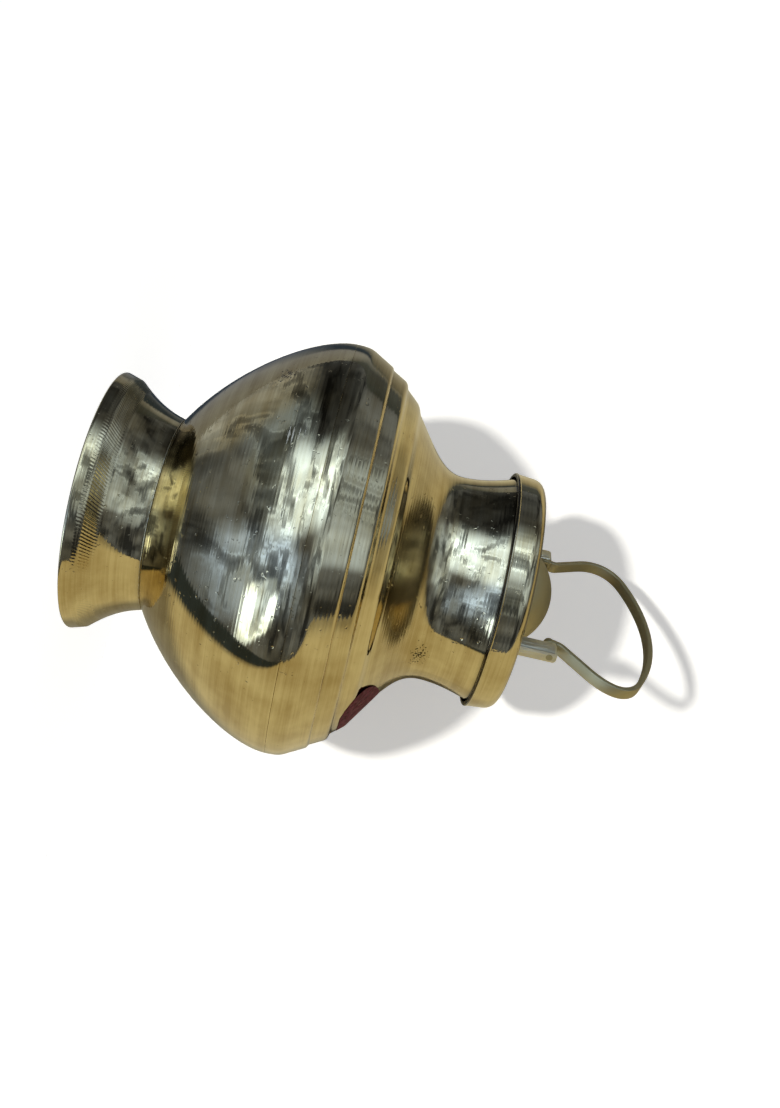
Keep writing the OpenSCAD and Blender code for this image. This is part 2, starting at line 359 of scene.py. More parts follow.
def add_piece(bm, name, materials, body, slot, *nodes):
    """Makes a piece of a mesh, smooth but for its sharp edges, and puts it on its body."""
    mesh = bpy.data.meshes.new(name)
    bm.to_mesh(mesh)
    bm.free()
    mesh.shade_smooth()
    mesh.set_sharp_from_angle(angle=SHARP)
    for material in materials:
        mesh.materials.append(material)
    piece = bpy.data.objects.new(name, mesh)
    bpy.context.scene.collection.objects.link(piece)
    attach(piece, body)
    if nodes:
        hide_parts(*nodes)


# Materials

# clusters of pits at the foot of the neck and on the bowl, each a middle and a reach in metres
PIT_CLUSTERS = (((0.0267, 0.0071, 0.0894), 0.0065), ((0.0063, -0.0495, 0.0433), 0.006))
# middle and reach of the flecks of dried polish on the bowl
FLECKS = ((0.0275, -0.0445, 0.0482), 0.009)
# heights over which the throat gets duller, and over which the neck gets bright again
DULLER = (76 * MM, 80 * MM)
BRIGHTER = (86 * MM, 92 * MM)


def add(tree, kind, inputs=None, **settings):
    """Adds a node. An input takes a value, another node's socket, or a node for its first socket."""
    made = tree.nodes.new("ShaderNode" + kind)
    for key, value in settings.items():
        setattr(made, key, value)
    for key, value in (inputs or {}).items():
        if isinstance(value, bpy.types.Node):
            value = value.outputs[0]
        if isinstance(value, bpy.types.NodeSocket):
            tree.links.new(value, made.inputs[key])
        else:
            made.inputs[key].default_value = value
    return made


def new_material(name):
    """Empty node material and its tree, or the material alone if it is there already."""
    material = bpy.data.materials.get(name)
    if material:
        return material, None
    material = bpy.data.materials.new(name)
    material.use_nodes = True
    material.node_tree.nodes.clear()
    return material, material.node_tree


def lathe_relief(tree, place, along, lines):
    """Dents, nicks, lathe marks and the tool's feed, each pressed in on top of the last."""
    # dents about 14 mm across and small nicks about 1.4 mm across
    dents = add(tree, "TexNoise", {"Vector": place, "Scale": 70.0, "Detail": 2.0})
    specks = add(tree, "TexNoise", {"Vector": place, "Scale": 700.0, "Detail": 2.0})
    nicks = add(tree, "MapRange", {"Value": specks, "From Min": 0.68, "From Max": 0.78, "To Max": -1.0})
    # lathe marks about 0.5 mm apart, and the tool's feed, one fine line about every millimetre
    marks = add(tree, "TexNoise", {"Vector": lines, "Scale": 2.0, "Detail": 1.0, "Roughness": 0.5})
    turns = add(tree, "Math", {0: along, 1: TURN}, operation="MULTIPLY")
    feed = add(tree, "Math", {0: turns}, operation="SINE")
    relief = None
    for height, depth in ((dents, 0.06 * MM), (nicks, 0.04 * MM), (marks, 0.009 * MM), (feed, 0.0015 * MM)):
        inputs = {"Height": height, "Strength": 1.0, "Distance": depth}
        if relief:
            inputs["Normal"] = relief
        relief = add(tree, "Bump", inputs)
    return relief


def near_spot(tree, place, spot, reach, most, stretch=(1, 1, 1)):
    """Strength that falls evenly from the most, at a spot, to nothing at its reach."""
    offset = add(tree, "VectorMath", {0: place, 1: spot}, operation="SUBTRACT")
    offset = add(tree, "VectorMath", {0: offset, 1: stretch}, operation="MULTIPLY")
    away = add(tree, "VectorMath", {0: offset}, operation="LENGTH").outputs["Value"]
    return add(tree, "MapRange", {"Value": away, "From Max": reach, "To Min": most, "To Max": 0.0})


def in_patch(tree, noise, patch):
    """Highest spots of a noise, which pass the threshold only where a patch lifts them."""
    lifted = add(tree, "Math", {0: noise, 1: patch}, operation="ADD")
    return add(tree, "MapRange", {"Value": lifted, "From Min": 0.86, "From Max": 0.9})


def painted_crevice_shade(tree, look, height):
    """Painted shade in corners and gaps within about 1.6 mm, and a painted shade line on the lip under the
    lid's hem.
    """
    # ambient occlusion darkens the colour where shade falls in corners and gaps: painted shade
    open_side = add(tree, "AmbientOcclusion", {"Distance": 1.6 * MM}, samples=4).outputs["AO"]
    corners = add(tree, "MapRange", {"Value": open_side, "From Min": 0.4, "From Max": 0.9,
                                     "To Min": 0.9, "To Max": 0.0})
    # a painted shade line at this height, on the lip just under the lid's hem
    above = add(tree, "Math", {0: height, 1: look.shade_line_height}, operation="SUBTRACT")
    away = add(tree, "Math", {0: above}, operation="ABSOLUTE")
    line = add(tree, "MapRange", {"Value": away, "From Min": 0.2 * MM, "From Max": 0.35 * MM,
                                  "To Min": 0.95, "To Max": 0.0})
    return add(tree, "Math", {0: corners, 1: line}, operation="MAXIMUM")


def brass_sheet(look):
    """Polished brass: a mirror drawn out across the lathe marks, with dents, pits, wear, and painted shade in
    corners, gaps and under the lid's hem.
    """
    material, tree = new_material("polished_brass")
    if tree is None:
        return material
    place = add(tree, "TexCoord").outputs["Object"]
    height = add(tree, "SeparateXYZ", {0: place}).outputs["Z"]
    # millimetres along the outline, and the same in a vector that changes only slowly around the pot
    along = add(tree, "Attribute", attribute_name="along").outputs["Fac"]
    slow = add(tree, "VectorMath", {0: place, 1: (25, 25, 0)}, operation="MULTIPLY")
    lengthwise = add(tree, "CombineXYZ", {"Z": along})
    lines = add(tree, "VectorMath", {0: slow, 1: lengthwise}, operation="ADD")
    relief = lathe_relief(tree, place, along, lines)
    # pits about 0.4 mm wide in their clusters, which are flatter than they are wide
    clusters = {i: near_spot(tree, place, spot, reach, 0.4, (1, 1, 1.6))
                for i, (spot, reach) in enumerate(PIT_CLUSTERS)}
    patch = add(tree, "Math", clusters, operation="MAXIMUM")
    grains = add(tree, "TexNoise", {"Vector": place, "Scale": 2300.0, "Detail": 0.0})
    pits = in_patch(tree, grains, patch)
    # pale flecks of dried polish, about 0.6 mm wide and drawn out around the pot
    scraps = add(tree, "TexNoise", {"Vector": lines, "Scale": 1.6, "Detail": 3.0})
    flecks = in_patch(tree, scraps, near_spot(tree, place, *FLECKS, 0.38))
    # uneven polish in smudges about 11 mm wide, duller in the throat, where the wheel doesn't reach
    smudge = add(tree, "TexNoise", {"Vector": place, "Scale": 90.0, "Detail": 3.0})
    polish = add(tree, "MapRange", {"Value": smudge, "From Min": 0.3, "From Max": 0.7,
                                    "To Min": look.polish * 0.75, "To Max": look.polish * 1.35})
    throat = add(tree, "MapRange", {"Value": height, "From Min": DULLER[0], "From Max": DULLER[1],
                                    "To Max": look.throat})
    neck = add(tree, "MapRange", {"Value": height, "From Min": BRIGHTER[0], "From Max": BRIGHTER[1],
                                  "To Min": 1.0, "To Max": 0.0})
    duller = add(tree, "Math", {0: throat, 1: neck, 2: polish}, operation="MULTIPLY_ADD")
    roughness = add(tree, "Math", {0: flecks, 1: 0.5, 2: duller}, operation="MULTIPLY_ADD")
    # rings and clouds of slightly worn colour, about 3 mm and 10 mm wide
    rings = add(tree, "TexNoise", {"Vector": lines, "Scale": 0.3, "Detail": 4.0, "Roughness": 0.85})
    clouds = add(tree, "TexNoise", {"Vector": place, "Scale": 100.0, "Detail": 4.0})
    both = add(tree, "Math", {0: rings, 1: clouds}, operation="ADD")
    wear = add(tree, "MapRange", {"Value": both, "From Min": 0.8, "From Max": 1.2})
    # real pits, and painted shade in corners, gaps and under the lid's hem
    pits_and_painted_shade = add(tree, "Math", {0: pits, 1: painted_crevice_shade(tree, look, height)}, operation="MAXIMUM")
    tint = (*look.brass, 1)
    for amount, hue in ((wear, look.worn), (flecks, look.flecks), (pits_and_painted_shade, look.pit_and_painted_shade_colour)):
        tint = add(tree, "MixRGB", {"Fac": amount, "Color1": tint, "Color2": (*hue, 1)})
    around = add(tree, "Tangent", direction_type="RADIAL", axis="Z")
    shader = add(tree, "BsdfPrincipled",
                 {"Base Color": tint, "Metallic": 1.0, "Roughness": roughness, "Normal": relief,
                  "Tangent": around, "Anisotropic": look.brushed, "Anisotropic Rotation": 0.25})
    add(tree, "OutputMaterial", {"Surface": shader})
    return material


def brass_dull(look):
    """Unpolished brass of the dome and the bail: a grain of about 0.4 mm and soft highlights."""
    material, tree = new_material("dull_brass")
    if tree is None:
        return material
    place = add(tree, "TexCoord").outputs["Object"]
    grain = add(tree, "TexNoise", {"Vector": place, "Scale": 2500.0, "Detail": 3.0})
    relief = add(tree, "Bump", {"Height": grain, "Strength": 1.0, "Distance": 0.004 * MM})
    shader = add(tree, "BsdfPrincipled", {"Normal": relief, "Base Color": (*look.dull, 1), "Metallic": 1.0,
                                          "Roughness": 0.52})
    add(tree, "OutputMaterial", {"Surface": shader})
    return material


def brass_filed(look):
    """Brass of the ears, left bright by a file that ran along them about every 0.4 mm."""
    material, tree = new_material("filed_brass")
    if tree is None:
        return material
    place = add(tree, "TexCoord").outputs["Object"]
    strokes = add(tree, "VectorMath", {0: place, 1: (2500, 2500, 120)}, operation="MULTIPLY")
    marks = add(tree, "TexNoise", {"Vector": strokes, "Scale": 1.0, "Detail": 2.0})
    relief = add(tree, "Bump", {"Height": marks, "Strength": 1.0, "Distance": 0.3 * MM})
    shader = add(tree, "BsdfPrincipled", {"Normal": relief, "Base Color": (*look.filed, 1), "Metallic": 1.0,
                                          "Roughness": 0.42})
    add(tree, "OutputMaterial", {"Surface": shader})
    return material


def mottled(name, first, second, scale, roughness, metallic=0.0, relief=0.0, gloss=0.5):
    """Material of two close colours in cloudy spots, a number of them to a metre, with a slight relief."""
    material, tree = new_material(name)
    if tree is None:
        return material
    place = add(tree, "TexCoord").outputs["Object"]
    spots = add(tree, "TexNoise", {"Vector": place, "Scale": scale, "Detail": 4.0, "Roughness": 0.6})
    amount = add(tree, "MapRange", {"Value": spots, "From Min": 0.35, "From Max": 0.65})
    tint = add(tree, "MixRGB", {"Fac": amount, "Color1": (*first, 1), "Color2": (*second, 1)})
    bumps = add(tree, "Bump", {"Height": spots, "Strength": 1.0, "Distance": relief})
    shader = add(tree, "BsdfPrincipled", {"Base Color": tint, "Roughness": roughness, "Metallic": metallic,
                                          "Specular IOR Level": gloss, "Normal": bumps})
    add(tree, "OutputMaterial", {"Surface": shader})
    return material


# Pieces


class POT_OT_foot(bpy.types.Operator):
    """Ring foot with its knurled rim band"""

    bl_idname = "pot.foot"
    bl_label = "Foot"

    def execute(self, context):
        s = context.scene.pot_sizes
        look = context.scene.pot_look
        plan = Plan(s)
        rim = s.foot_d / 2
        band = Vector((rim - s.band_lean, s.foot_band))
        ground = Vector((rim, 0))
        lower_pull = Vector((-3.7, 4.1)) * MM
        upper_pull = Vector((1.3, -5.9)) * MM
        curve = cubic(band, band + lower_pull, plan.seat_out + upper_pull, plan.seat_out, 44)
        inner = beside(curve, s.foot_wall)
        bevel = 0.5 * MM
        inner_foot = Vector((rim - s.foot_wall - bevel, 0))
        edge_round = 0.8 * MM
        bottom = rounded(inner_foot, ground, band, edge_round, 6)
        wall = straight(6, bottom[-1], band)[1:-1]
        outline = bottom + wall + curve + [plan.seat_in] + inner[-2::-1] + [inner_foot]
        # the strokes are counted so that each wedge of the spun band has the same number of steps
        band_r = rim - 2.5 * MM
        steps_a_stroke = 4
        shared = WEDGES // steps_a_stroke
        strokes = shared * round(TURN * band_r / s.knurl_pitch / shared)
        bm = spun(outline, strokes * steps_a_stroke)
        self.knurl(bm, s, strokes, len(bottom + wall + curve))
        add_piece(bm, "foot_shell", [brass_sheet(look)], "pot", "brass_body", "foot")
        return {"FINISHED"}

    def knurl(self, bm, s, strokes, count):
        """Presses slanted strokes into the outer side of the rim band."""
        along = bm.verts.layers.float["along"]
        low, high = s.knurl_z
        outer_end = sorted({round(v[along], 6) for v in bm.verts})[count - 1]
        slant = math.tan(math.radians(32))
        run_out = 0.5 * MM
        for vert in bm.verts:
            if vert[along] > outer_end or not low < vert.co.z < high:
                continue
            radius, angle = polar(vert.co)
            turn = strokes * (angle / TURN) - slant * (vert.co.z - low) / s.knurl_pitch
            fade = min(1, (vert.co.z - low) / run_out, (high - vert.co.z) / run_out)
            set_radius(vert, radius - s.knurl_depth * fade * (0.5 - 0.5 * math.cos(TURN * turn)))


class POT_OT_body(bpy.types.Operator):
    """Lower bowl, shoulder and neck, waist solder and blank label"""

    bl_idname = "pot.body"
    bl_label = "Body"

    def execute(self, context):
        s = context.scene.pot_sizes
        look = context.scene.pot_look
        plan = Plan(s)
        brass = brass_sheet(look)
        groove = 0.06 * MM
        bottom = Vector((0, s.foot_h - s.bowl_sink))
        bottom_pull = Vector((s.waist_d / 5, 0))
        seat_pull = plan.slope * 9 * MM
        under = cubic(bottom, bottom + bottom_pull, plan.seat_in - seat_pull, plan.seat_in, 24)
        side = cubic(plan.seat_out, plan.seat_out + plan.slope * s.waist_pull,
                     plan.belly - Vector((0, s.belly_pull)), plan.belly, 72)
        outer = under + side[:-1] + [plan.belly - Vector((0, groove))]
        inner = beside(under + side, s.body_wall)
        seam = plan.belly - Vector((groove, 0))
        seam_in = plan.belly - Vector((s.body_wall, 0))
        outline = outer + [seam, seam_in] + inner[-2:0:-1] + [bottom + Vector((0, s.body_wall))]
        add_piece(spun(outline, s.steps), "bowl_shell", [brass], "pot", "brass_body", "lower_bowl")

        path = self.upper_path(s, plan)
        lip = path[-1]
        outer = [plan.belly + Vector((0, groove))] + path[1:]
        inner = beside(path, s.body_wall)
        outline = [seam] + outer + [lip - Vector((s.body_wall, 0))] + inner[-2:0:-1] + [seam_in]
        add_piece(spun(outline, s.steps), "shoulder_and_neck", [brass], "pot", "brass_body", "upper_body")

        bead = 0.14 * MM
        centre = plan.seat_out + Vector((0.1, -0.1)) * MM
        outline = arc(centre, bead, TURN / 4, -TURN * 3 / 4, 12)[:-1]
        # brazing solder, paler than the sheet and a little lumpy
        solder = mottled("brazing_solder", look.solder, look.worn, scale=900, roughness=0.3, metallic=1.0,
                         relief=0.03 * MM)
        add_piece(spun(outline, s.steps), "waist_solder", [solder], "pot", "brass_body")
        self.label(s, look, plan, path)
        return {"FINISHED"}

    def upper_path(self, s, plan):
        """Outer line of shoulder, flare and neck."""
        feet = plan.tier_feet(s)
        first = plan.tier_edge(s, feet[0], 0)
        belly_pull = Vector((0, 1.8)) * MM
        tier_pull = 1.6 * MM
        path = cubic(plan.belly, plan.belly + belly_pull, toward(feet[0], first, -tier_pull), feet[0], 16)
        for i in range(3):
            edge = plan.tier_edge(s, feet[i], i)
            bend = rounded(feet[i], edge, feet[i + 1], s.tier_round[i])
            path += straight(4, path[-1], bend[0])[1:-1] + bend + [feet[i + 1]]
        start = feet[3]
        neck = Vector((s.neck_d / 2, plan.neck_z))
        lip = Vector((plan.lip_r, plan.lip_z))
        slope = Vector((-math.cos(s.flare_slope), math.sin(s.flare_slope)))
        flare_pull = slope * 10 * MM
        neck_pull_below = Vector((0, 6)) * MM
        neck_pull_above = Vector((0, 5)) * MM
        lip_pull = Vector((1.15, 3.3)) * MM
        path += cubic(start, start + flare_pull, neck - neck_pull_below, neck, 40)[1:]
        path += cubic(neck, neck + neck_pull_above, lip - lip_pull, lip, 30)[1:]
        return path

    def label(self, s, look, plan, path):
        """Blank oval paper label over the edge of the last tier and straight on to the flare."""
        low = 73.2 * MM
        high = 82.2 * MM
        middle = math.radians(42)
        half = math.radians(23)
        lift = 0.05 * MM
        thickness = 0.06 * MM
        # share of the width, squared, that is left at the oval's two ends
        blunt = 0.03
        last_edge = plan.tier_edge(s, plan.tier_feet(s)[2], 2)
        skin = beside(path, -lift)
        edge = max(i for i, p in enumerate(skin) if p.x > last_edge.x)
        end = next(p for p in skin if p.y > high)
        rows = [p for p in skin[:edge + 1] if p.y > low] + straight(10, skin[edge], end)[1:]
        bm = bmesh.new()
        verts = [bm.verts.new((p.x, 0, p.y)) for p in rows]
        edges = [bm.edges.new(pair) for pair in zip(verts, verts[1:])]
        bmesh.ops.spin(bm, geom=verts + edges, cent=(0, 0, 0), axis=(0, 0, 1), angle=2 * half, steps=36)
        for vert in bm.verts:
            radius, angle = polar(vert.co)
            up = 2 * (vert.co.z - low) / (high - low) - 1
            angle = middle + (angle - half) * math.sqrt(max(blunt, 1 - up * up))
            vert.co.x = radius * math.cos(angle)
            vert.co.y = radius * math.sin(angle)
        bmesh.ops.recalc_face_normals(bm, faces=bm.faces)
        bmesh.ops.solidify(bm, geom=bm.faces[:], thickness=-thickness)
        bmesh.ops.recalc_face_normals(bm, faces=bm.faces)
        # matte paper, paler along its creases: the paler spots are a painted sheen, the light that the
        # creased paper catches
        paper = mottled("label_paper", look.label, look.crease_sheen, scale=700, roughness=0.6, relief=0.4 * MM,
                        gloss=0.1)
        add_piece(bm, "blank_label", [paper], "pot", "brass_body")


class POT_OT_mouth(bpy.types.Operator):
    """Threaded ring on the mouth"""

    bl_idname = "pot.mouth"
    bl_label = "Mouth ring"

    def execute(self, context):
        s = context.scene.pot_sizes
        plan = Plan(s)
        flange = plan.lip_z + s.flange_t
        lip_inset = 0.5 * MM
        outer = plan.lip_r - lip_inset
        edge = 0.2 * MM
        corners = [Vector((plan.mouth_r, plan.lip_z)), Vector((outer, plan.lip_z)), Vector((outer, flange)),
                   Vector((plan.thread_r, flange)), Vector((plan.thread_r, plan.collar)),
                   Vector((plan.mouth_r, plan.collar))]
        # the corner where the thread starts, left sharp
        thread_foot = 3
        outline = []
        for i, corner in enumerate(corners):
            following = corners[(i + 1) % len(corners)]
            if i == thread_foot:
                outline += straight(40, corner, following)[:-2]
            else:
                outline += rounded(corners[i - 1], corner, following, edge, 3)
        bm = spun(outline, s.steps)
        cut_thread(bm, s, plan.thread_r, flange, plan.collar, -1, 0)
        brass = brass_sheet(context.scene.pot_look)
        add_piece(bm, "threaded_mouth", [brass], "pot", "brass_ring", "mouth_ring")
        return {"FINISHED"}


def cut_thread(bm, s, wall, low, high, sign, phase):
    """Cuts a right-hand thread into the wall at a radius: sign -1 cuts inwards, +1 outwards."""
    run_out = 0.4 * MM
    for vert in bm.verts:
        radius, angle = polar(vert.co)
        if abs(radius - wall) > TINY or not low < vert.co.z < high:
            continue
        turn = (vert.co.z - low) / s.thread_pitch - angle / TURN + phase
        fade = min(1, (vert.co.z - low) / run_out, (high - vert.co.z) / run_out)
        set_radius(vert, radius + sign * s.thread_depth * fade * (0.5 - 0.5 * math.cos(TURN * turn)))


class POT_OT_lid(bpy.types.Operator):
    """Lid cap with its dome, the threaded ring in it and the washer"""

    bl_idname = "pot.lid"
    bl_label = "Lid"

    def execute(self, context):
        s = context.scene.pot_sizes
        look = context.scene.pot_look
        plan = Plan(s)
        brass = brass_sheet(look)
        skirt = Vector((plan.lid_r, plan.lid_z))
        corner = Vector((plan.lid_r - s.skirt_lean, plan.lid_top))
        dome_r = (s.dome_d ** 2 / 4 + s.dome_h ** 2) / (2 * s.dome_h)
        blend_angle = math.radians(6)
        base = math.asin(s.dome_d / 2 / dome_r) - blend_angle
        top = plan.lid_top + s.dome_h
        crown = arc(Vector((0, top - dome_r)), dome_r, base, 0, 32)
        foot = Vector((crown[0].x + (crown[0].y - plan.lid_top) / math.tan(base), plan.lid_top))
        blend = rounded(corner, foot, crown[0], (crown[0] - foot).length)
        bend = rounded(skirt, corner, Vector((0, plan.lid_top)), s.lid_round, 16)
        hem_inset = 0.35 * MM
        hem = Vector((plan.lid_r - hem_inset, plan.lid_z + s.hem_r))
        bead = arc(hem, s.hem_r, math.radians(180), math.radians(36), 12)
        flat = straight(12, bend[-1], blend[0])[1:-1]
        outer = bead + straight(8, bead[-1], bend[0])[1:-1] + bend + flat + blend + crown[1:]
        path = [skirt] + bend + flat + blend + crown[1:]
        inner = beside(path, s.lid_wall)
        skirt_in = skirt - Vector((s.lid_wall, 0))
        outline = outer + [Vector((0, top - s.lid_wall))] + inner[-2:0:-1] + [skirt_in]
        bm = spun(outline, s.steps)
        for face in bm.faces:
            middle = face.calc_center_median()
            if math.hypot(middle.x, middle.y) < blend[0].x and middle.z > plan.lid_top:
                face.material_index = 1
        add_piece(bm, "lid_shell", [brass, brass_dull(look)], "lid", "brass_body", "lid_cap")

        flange = plan.lip_z + s.flange_t
        ring_lift = 0.5 * MM
        low = flange + ring_lift
        outer_r = plan.lid_ring_r + s.lid_ring_wall
        inside = straight(40, Vector((plan.lid_ring_r, plan.ceiling)), Vector((plan.lid_ring_r, low)))
        bm = spun(inside + [Vector((outer_r, low)), Vector((outer_r, plan.ceiling))], s.steps)
        cut_thread(bm, s, plan.lid_ring_r, flange, plan.ceiling, 1, 0.5)
        add_piece(bm, "threaded_lid_ring", [brass], "lid", "brass_ring", "lid_ring")

        inset = 0.2 * MM
        bm = ring(plan.mouth_r + inset, plan.thread_r - inset, plan.collar, plan.collar + s.washer_t, inset,
                  s.steps)
        # matte rubber with a chalky bloom
        rubber = mottled("washer_rubber", look.washer, look.chalk, scale=1500, roughness=0.7,
                         relief=0.02 * MM)
        add_piece(bm, "soft_washer", [rubber], "washer", "washer", "seal_washer")
        return {"FINISHED"}


class POT_OT_bail(bpy.types.Operator):
    """Ears, pins and the bent strip bail"""

    bl_idname = "pot.bail"
    bl_label = "Bail"

    def execute(self, context):
        s = context.scene.pot_sizes
        look = context.scene.pot_look
        plan = Plan(s)
        dull = brass_dull(look)
        for side, name in ((1, "right"), (-1, "left")):
            add_piece(self.ear(s, plan, side), "ear_block_" + name, [brass_filed(look)], "lid", "brass_strip",
                      "ear_" + name)
        add_piece(self.pins(s, plan), "rivets", [dull], "lid", "brass_strip", "bail_pins")
        bm = bmesh.new()
        self.strip(bm, s, plan)
        for side in (1, -1):
            self.eye(bm, s, side * plan.tab_p)
        bm.transform(Matrix.Translation((0, 0, plan.pin_z)) @ Matrix.Rotation(-s.bail_lean, 4, "X"))
        add_piece(bm, "bail_strip", [dull], "bail", "brass_strip", "bail_handle")
        return {"FINISHED"}

    def ear(self, s, plan, side):
        """Upright lug with rounded tip corners and softened edges."""
        bm = bmesh.new()
        size = Matrix.Diagonal((s.ear_t, s.ear_w, s.ear_h, 1))
        middle = Matrix.Translation((side * (plan.ear_r + s.ear_t / 2), 0, plan.lid_top + s.ear_h / 2))
        bmesh.ops.create_cube(bm, size=1, matrix=middle @ size)
        top = plan.lid_top + s.ear_h - TINY
        tip_round = 0.9 * MM
        edge_round = 0.16 * MM
        tips = [e for e in bm.edges if all(v.co.z > top for v in e.verts)
                and abs(e.verts[0].co.x - e.verts[1].co.x) > MM]
        bmesh.ops.bevel(bm, geom=tips, offset=tip_round, segments=6, profile=0.5, affect="EDGES",
                        material=-1)
        sharp = [e for e in bm.edges if e.calc_face_angle(0) > SHARP
                 and max(v.co.z for v in e.verts) > plan.lid_top + TINY]
        bmesh.ops.bevel(bm, geom=sharp, offset=edge_round, segments=2, profile=0.5, affect="EDGES",
                        material=-1)
        return bm

    def pins(self, s, plan):
        """Two rivets with a head on the bail's inner side."""
        head_t = 0.4 * MM
        head_rim = 0.4 * MM
        proud = 0.03 * MM
        pin_r = s.pin_d / 2
        start = plan.tab_p - s.bail_t / 2 - s.bail_gap - head_t
        end = plan.ear_r + s.ear_t + proud
        bm = bmesh.new()
        for side in (1, -1):
            for radius, low, high in ((pin_r, start, end), (pin_r + head_rim, start, start + head_t)):
                middle = Matrix.Translation((side * (low + high) / 2, 0, plan.pin_z))
                bmesh.ops.create_cone(bm, cap_ends=True, segments=32, radius1=radius, radius2=radius,
                                      depth=high - low, matrix=middle @ Matrix.Rotation(math.pi / 2, 4, "Y"))
        return bm

    def path(self, s, plan):
        """Middle line of the strip in its own plane, from above one pin to above the other."""
        bend = Vector((plan.tab_p, s.bail_bend))
        corner = Vector((plan.tab_p + s.bail_corner[0], s.bail_corner[1]))
        sag = s.bail_top - corner.y
        arch_r = (corner.x ** 2 + sag ** 2) / (2 * sag)
        arch_a = math.asin(corner.x / arch_r) - s.bail_round / arch_r
        arch = arc(Vector((0, s.bail_top - arch_r)), arch_r, arch_a, 0, 24)
        leg_end = toward(corner, bend, s.bail_round)
        pull = s.bail_round * 2 / 3
        back = Vector((math.cos(arch_a), -math.sin(arch_a))) * pull
        turn = cubic(leg_end, toward(leg_end, corner, pull), arch[0] + back, arch[0], 28)
        start = Vector((plan.tab_p, s.bail_w / 2))
        bend_round = 0.9 * MM
        half = [start] + rounded(start, bend, leg_end, bend_round) + turn + arch[1:]
        return half + [Vector((-p.x, p.y)) for p in half[-2::-1]]

    def strip(self, bm, s, plan):
        """Flat strip along its bent line, with softened edges."""
        line = beside(self.path(s, plan), -s.bail_t / 2)
        verts = [bm.verts.new((p.x, -s.bail_w / 2, p.y)) for p in line]
        edges = [bm.edges.new(pair) for pair in zip(verts, verts[1:])]
        wide = bmesh.ops.extrude_edge_only(bm, edges=edges)["geom"]
        moved = [item for item in wide if isinstance(item, bmesh.types.BMVert)]
        bmesh.ops.translate(bm, verts=moved, vec=(0, s.bail_w, 0))
        faces = bm.faces[:]
        bmesh.ops.recalc_face_normals(bm, faces=faces)
        if sum(f.normal.z for f in faces) < 0:
            bmesh.ops.reverse_faces(bm, faces=faces)
        bmesh.ops.solidify(bm, geom=faces, thickness=s.bail_t)
        edge_round = 0.22 * MM
        self.soften(bm, bm.edges, edge_round)

    def eye(self, bm, s, middle):
        """Flat tab around a pin, round below and as wide as the strip above, with a hole for the pin."""
        reach = s.bail_w / 2
        hole = s.pin_d / 2 + s.bail_gap
        tab = bmesh.new()
        bmesh.ops.create_circle(tab, segments=48, radius=hole)
        rim = bmesh.ops.create_circle(tab, segments=48, radius=reach)["verts"]
        for vert in rim:
            if vert.co.y > 0:
                vert.co *= reach / max(abs(vert.co.x), abs(vert.co.y))
        bmesh.ops.bridge_loops(tab, edges=tab.edges[:])
        thick = bmesh.ops.extrude_face_region(tab, geom=tab.faces[:])["geom"]
        moved = [item for item in thick if isinstance(item, bmesh.types.BMVert)]
        bmesh.ops.translate(tab, verts=moved, vec=(0, 0, s.bail_t))
        bmesh.ops.recalc_face_normals(tab, faces=tab.faces)
        lower = [e for e in tab.edges if max(v.co.y for v in e.verts) < reach - TINY]
        edge_round = 0.15 * MM
        self.soften(tab, lower, edge_round)
        stand = Matrix(((0, 0, 1, middle - s.bail_t / 2), (1, 0, 0, 0), (0, 1, 0, 0), (0, 0, 0, 1)))
        tab.transform(stand)
        mesh = bpy.data.meshes.new("tab")
        tab.to_mesh(mesh)
        tab.free()
        bm.from_mesh(mesh)
        bpy.data.meshes.remove(mesh)

    def soften(self, bm, edges, size):
        """Rounds the sharp ones of some edges."""
        sharp = [e for e in edges if e.calc_face_angle(0) > math.radians(60)]
        bmesh.ops.bevel(bm, geom=sharp, offset=size, segments=3, profile=0.5, affect="EDGES", material=-1)


